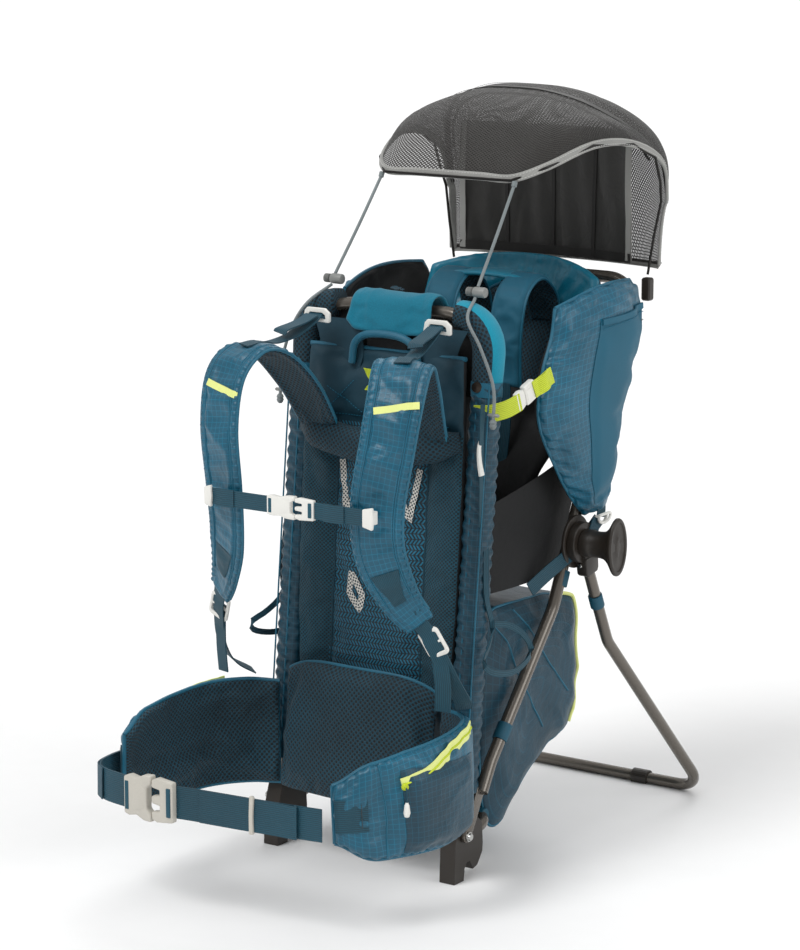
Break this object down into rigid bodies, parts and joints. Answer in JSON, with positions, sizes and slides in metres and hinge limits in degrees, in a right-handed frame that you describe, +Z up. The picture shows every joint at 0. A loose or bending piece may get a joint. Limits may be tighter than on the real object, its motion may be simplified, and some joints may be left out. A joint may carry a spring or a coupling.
{
  "type": "baby carrier backpack",
  "caption": "Framed child carrier worn on the back, with a padded harness and hip belt, a child seat, a folding kickstand and a tilting sun canopy.",
  "frame": {"origin": "on the floor, under the middle of the object's box", "axes": "+Z up, along the object's longest side; +X along its shortest side, towards the wearer's left, which names call right because it is on the right when the harness is seen from the front; the wearer stands on the -Y side and the kickstand opens towards +Y"},
  "size_m": [0.45, 0.8069, 0.9479],
  "materials": {
    "painted_tube": "dark grey-brown powder coat, satin gloss",
    "black_plastic": "moulded dark brown-black nylon, fine grain",
    "white_plastic": "off-white acetal, satin",
    "grey_plastic": "mid-grey moulded plastic",
    "zinc": "zinc-plated steel",
    "steel_wire": "dark spring steel wire",
    "ripstop": "petrol-blue ripstop nylon with a soft sheen",
    "teal_mesh": "dark teal three-dimensional spacer mesh",
    "teal_webbing": "dark teal woven webbing",
    "cyan_fleece": "bright cyan brushed fleece",
    "canopy_mesh": "black open-mesh fabric",
    "canopy_cloth": "charcoal woven cloth",
    "grey_cord": "light grey elastic cord"
  },
  "bodies": {
    "frame": {"main_frame": "painted_tube", "lower_loop_tube": "painted_tube", "rear_frame": "painted_tube", "foot_bracket_right": "black_plastic", "foot_bracket_left": "black_plastic", "hub_right": "black_plastic", "hub_left": "black_plastic", "canopy_socket_right": "black_plastic", "canopy_socket_left": "black_plastic", "foot_bolt_right": "zinc", "foot_bolt_left": "zinc", "shoulder_strap_right": "ripstop", "shoulder_strap_left": "ripstop", "hip_wing_right": "ripstop", "hip_wing_left": "ripstop", "seat_back": "ripstop", "seat_wing_right": "ripstop", "seat_wing_left": "ripstop", "storage_bag": "ripstop", "child_harness": "ripstop", "back_panel": "teal_mesh", "lumbar_pad": "teal_mesh", "seat_base": "teal_mesh", "hip_webbing_left": "teal_webbing", "top_rail_pad": "cyan_fleece", "handle_cover": "cyan_fleece", "canopy_cord_upper_right": "grey_cord", "canopy_cord_upper_left": "grey_cord", "canopy_cord_lower_right": "grey_cord", "canopy_cord_lower_left": "grey_cord", "cord_lock_right": "grey_plastic", "cord_lock_left": "grey_plastic", "lifter_hook_right": "white_plastic", "lifter_hook_left": "white_plastic", "strap_adjuster_right": "white_plastic", "strap_adjuster_left": "white_plastic", "side_buckle_right": "white_plastic", "side_buckle_left": "white_plastic", "hip_buckle_socket": "white_plastic"},
    "kickstand": {"kickstand_tube": "painted_tube", "kickstand_lug_right": "black_plastic", "kickstand_lug_left": "black_plastic", "leg_rivet_right": "zinc", "leg_rivet_left": "zinc", "kickstand_clip": "black_plastic"},
    "knob_right": {"knob_right": "black_plastic"},
    "knob_left": {"knob_left": "black_plastic"},
    "canopy": {"canopy_cover": "canopy_mesh", "canopy_curtain": "canopy_cloth", "brim_wire": "steel_wire", "ridge_bow": "steel_wire"},
    "cord_lock_button_right": {"cord_lock_button_right": "grey_plastic"},
    "cord_lock_button_left": {"cord_lock_button_left": "grey_plastic"},
    "sternum_strap": {"sternum_webbing_left": "teal_webbing", "sternum_buckle_socket": "white_plastic"},
    "sternum_tongue": {"sternum_webbing_right": "teal_webbing", "sternum_buckle_tongue": "white_plastic"},
    "hip_tongue": {"hip_webbing_right": "teal_webbing", "hip_buckle_tongue": "white_plastic"}
  },
  "joints": [
    {"name": "kickstand_fold", "type": "hinge", "parent": "frame", "child": "kickstand", "pos_m": [0, 0.1345, 0.388], "axis": [-1, 0, 0], "range_deg": [0, 60]},
    {"name": "knob_right_press", "type": "slide", "parent": "frame", "child": "knob_right", "axis": [-1, 0, 0], "range_m": [0, 0.005], "stiffness_N_per_m": 600, "springref_m": -0.003},
    {"name": "knob_left_press", "type": "slide", "parent": "frame", "child": "knob_left", "axis": [1, 0, 0], "range_m": [0, 0.005], "stiffness_N_per_m": 600, "springref_m": -0.003},
    {"name": "canopy_tilt", "type": "hinge", "parent": "frame", "child": "canopy", "pos_m": [0, 0.3205, 0.69], "axis": [-1, 0, 0], "range_deg": [0, 28]},
    {"name": "cord_lock_right_press", "type": "slide", "parent": "frame", "child": "cord_lock_button_right", "axis": [1, 0, 0], "range_m": [0, 0.003], "stiffness_N_per_m": 500, "springref_m": -0.002},
    {"name": "cord_lock_left_press", "type": "slide", "parent": "frame", "child": "cord_lock_button_left", "axis": [1, 0, 0], "range_m": [0, 0.003], "stiffness_N_per_m": 500, "springref_m": -0.002},
    {"name": "sternum_height", "type": "slide", "parent": "frame", "child": "sternum_strap", "axis": [0, 0, 1], "range_m": [-0.03, 0.03]},
    {"name": "sternum_release", "type": "slide", "parent": "sternum_strap", "child": "sternum_tongue", "axis": [1, 0, 0], "range_m": [0, 0.02]},
    {"name": "hip_belt_release", "type": "slide", "parent": "frame", "child": "hip_tongue", "axis": [0.994, 0.109, 0], "range_m": [0, 0.03]}
  ]
}
